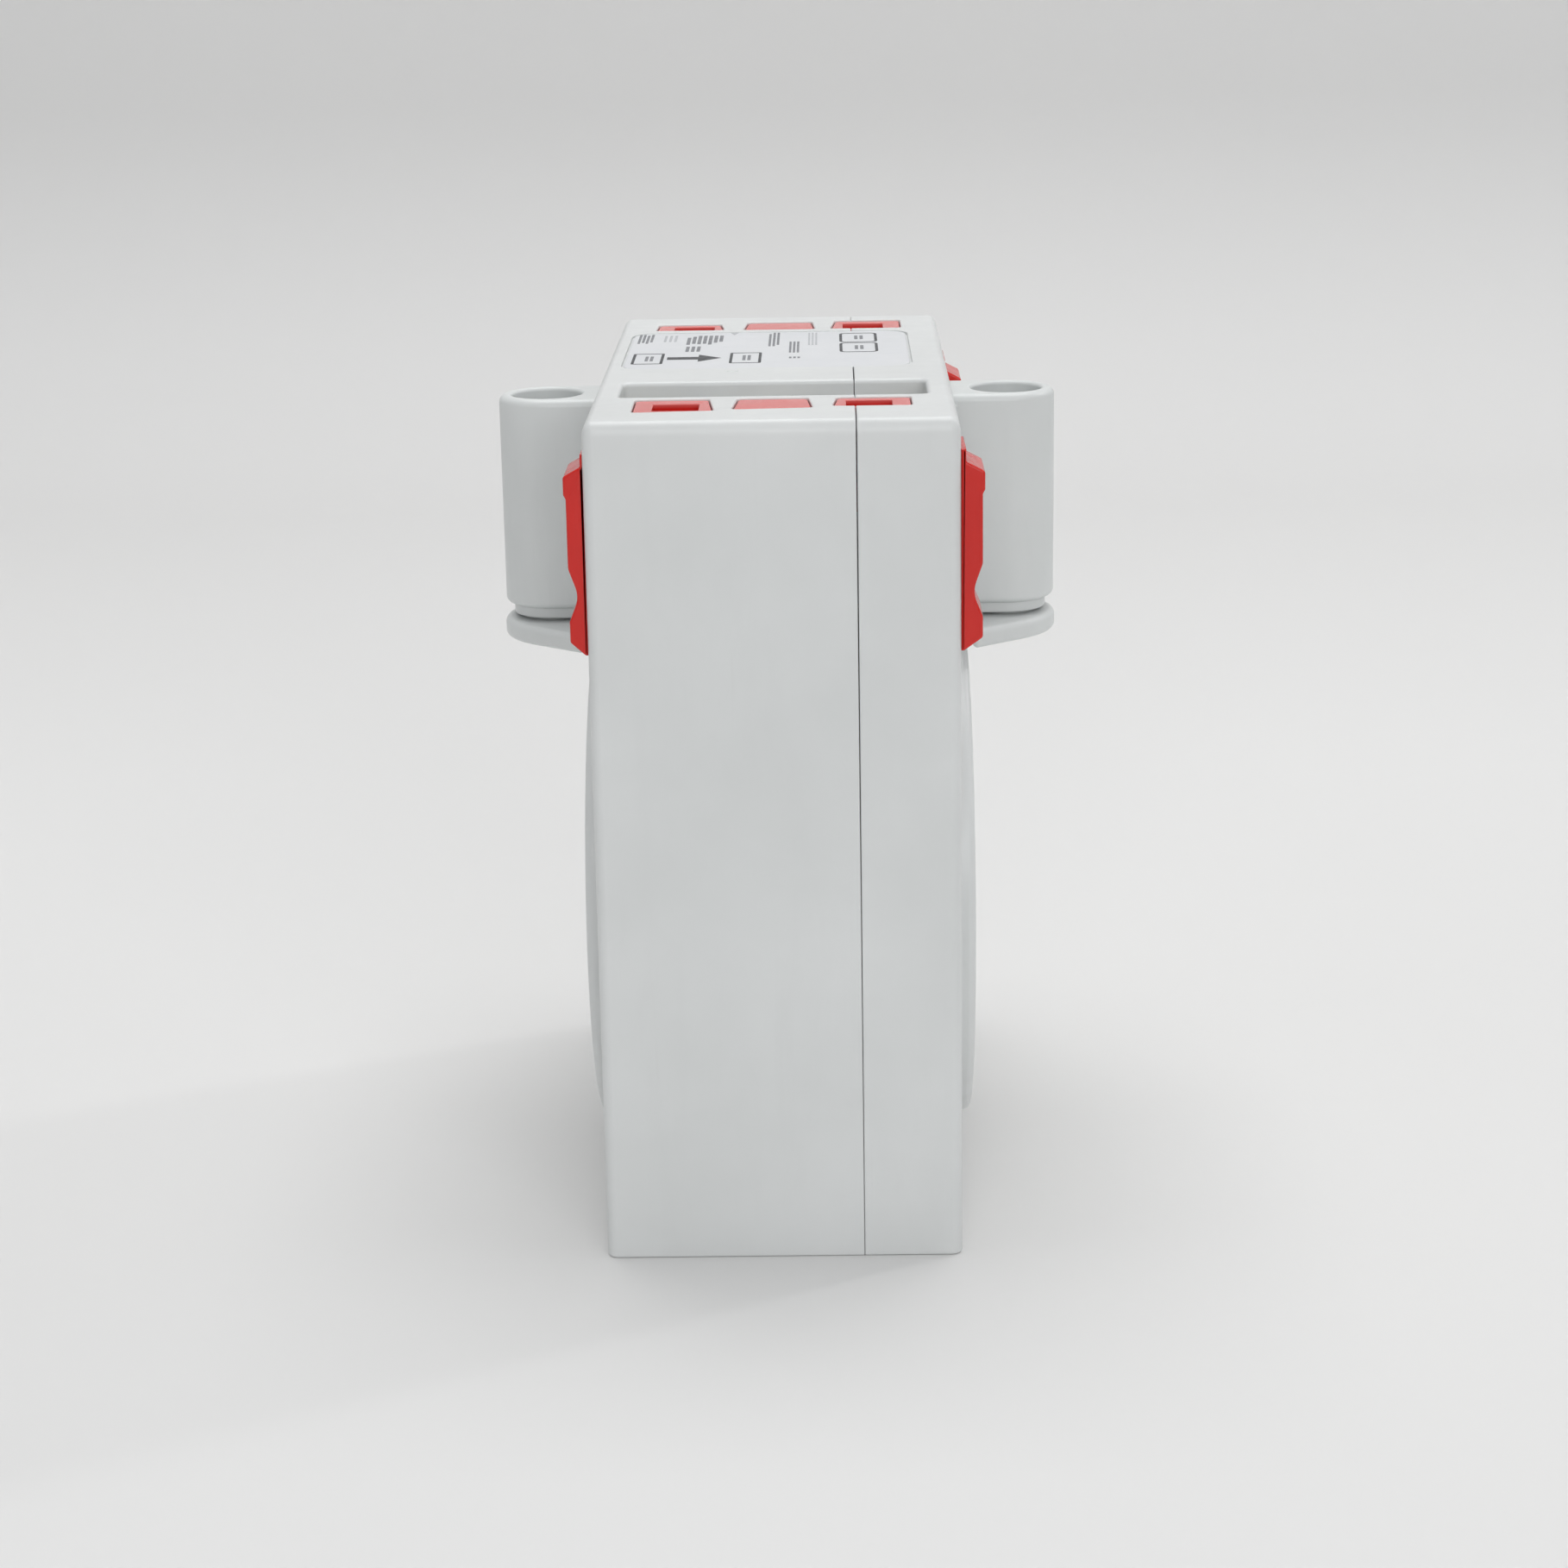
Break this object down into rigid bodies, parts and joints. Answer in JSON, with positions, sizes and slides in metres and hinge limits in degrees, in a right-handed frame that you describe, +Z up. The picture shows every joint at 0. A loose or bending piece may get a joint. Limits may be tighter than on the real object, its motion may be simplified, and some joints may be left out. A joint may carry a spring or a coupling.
{
  "type": "window current transformer",
  "caption": "Moulded window-type current transformer with screw-driven clamp feet, lock clips and a screw terminal chamber.",
  "frame": {"origin": "on the base, under the centre of the case", "axes": "+Z up; X along the primary conductor, through the thickness, +X on the cover side; Y along the depth, -Y the narrow end nearest the terminal chamber"},
  "size_m": [0.0652, 0.08, 0.095],
  "materials": {
    "case_plastic": "smooth moulded light grey plastic, satin to gloss",
    "red_plastic": "moulded red plastic, satin to gloss",
    "brass": "plain brass",
    "zinc_steel": "zinc plated steel",
    "copper_wire": "enamelled copper wire, wound",
    "core_steel": "strip wound grain oriented steel",
    "bobbin_plastic": "matt insulating plastic",
    "tape": "polyester insulating tape",
    "foam": "closed cell foam",
    "label_film": "printed polyester film, satin",
    "carrier_plastic": "moulded insulator"
  },
  "bodies": {
    "case": {"main_case": "case_plastic", "case_cover": "case_plastic", "core_ring": "core_steel", "bobbin_left": "bobbin_plastic", "bobbin_right": "bobbin_plastic", "secondary_winding": "copper_wire", "winding_tape": "tape", "cushion_ring_left": "foam", "cushion_ring_right": "foam", "terminal_carrier": "carrier_plastic", "terminal_plate_s1": "brass", "terminal_plate_s2": "brass", "winding_lead_s1": "copper_wire", "winding_lead_s2": "copper_wire", "guide_tube_right": "case_plastic", "guide_tube_left": "case_plastic", "threaded_insert_right": "brass", "threaded_insert_left": "brass", "rating_label": "label_film"},
    "near_lock": {"lock_clip_near": "red_plastic"},
    "far_lock": {"lock_clip_far": "red_plastic"},
    "left_foot": {"clamp_foot_left": "case_plastic", "foot_retainer_left": "zinc_steel"},
    "right_foot": {"clamp_foot_right": "case_plastic", "foot_retainer_right": "zinc_steel"},
    "left_screw": {"clamp_screw_left": "zinc_steel"},
    "right_screw": {"clamp_screw_right": "zinc_steel"},
    "s1_washer": {"terminal_washer_s1": "zinc_steel"},
    "s2_washer": {"terminal_washer_s2": "zinc_steel"},
    "s1_screw": {"terminal_screw_s1": "zinc_steel"},
    "s2_screw": {"terminal_screw_s2": "zinc_steel"}
  },
  "joints": [
    {"name": "near_lock_slide", "type": "slide", "parent": "case", "child": "near_lock", "axis": [0, 0, 1], "range_m": [0, 0.003]},
    {"name": "far_lock_slide", "type": "slide", "parent": "case", "child": "far_lock", "axis": [0, 0, 1], "range_m": [0, 0.003]},
    {"name": "left_foot_travel", "type": "slide", "parent": "case", "child": "left_foot", "axis": [0, 0, -1], "range_m": [0, 0.012]},
    {"name": "left_screw_turn", "type": "hinge", "parent": "left_foot", "child": "left_screw", "pos_m": [-0.0268, 0, 0.0869], "axis": [0, 0, -1], "range_deg": [0, 4321]},
    {"name": "right_foot_travel", "type": "slide", "parent": "case", "child": "right_foot", "axis": [0, 0, -1], "range_m": [0, 0.012]},
    {"name": "right_screw_turn", "type": "hinge", "parent": "right_foot", "child": "right_screw", "pos_m": [0.0268, 0, 0.0869], "axis": [0, 0, -1], "range_deg": [0, 4321]},
    {"name": "s1_washer_lift", "type": "slide", "parent": "case", "child": "s1_washer", "axis": [0, 0, 1], "range_m": [0, 0.0014]},
    {"name": "s1_screw_turn", "type": "hinge", "parent": "s1_washer", "child": "s1_screw", "pos_m": [-0.0085, -0.018, 0.0915], "axis": [0, 0, 1], "range_deg": [0, 720.5]},
    {"name": "s2_washer_lift", "type": "slide", "parent": "case", "child": "s2_washer", "axis": [0, 0, 1], "range_m": [0, 0.0014]},
    {"name": "s2_screw_turn", "type": "hinge", "parent": "s2_washer", "child": "s2_screw", "pos_m": [0.0085, -0.018, 0.0915], "axis": [0, 0, 1], "range_deg": [0, 720.5]}
  ],
  "couplings": [
    {"joint": "left_screw_turn", "follows": "left_foot_travel", "rad_per_m": 6283.2},
    {"joint": "right_screw_turn", "follows": "right_foot_travel", "rad_per_m": 6283.2},
    {"joint": "s1_screw_turn", "follows": "s1_washer_lift", "rad_per_m": 8976},
    {"joint": "s2_screw_turn", "follows": "s2_washer_lift", "rad_per_m": 8976}
  ]
}
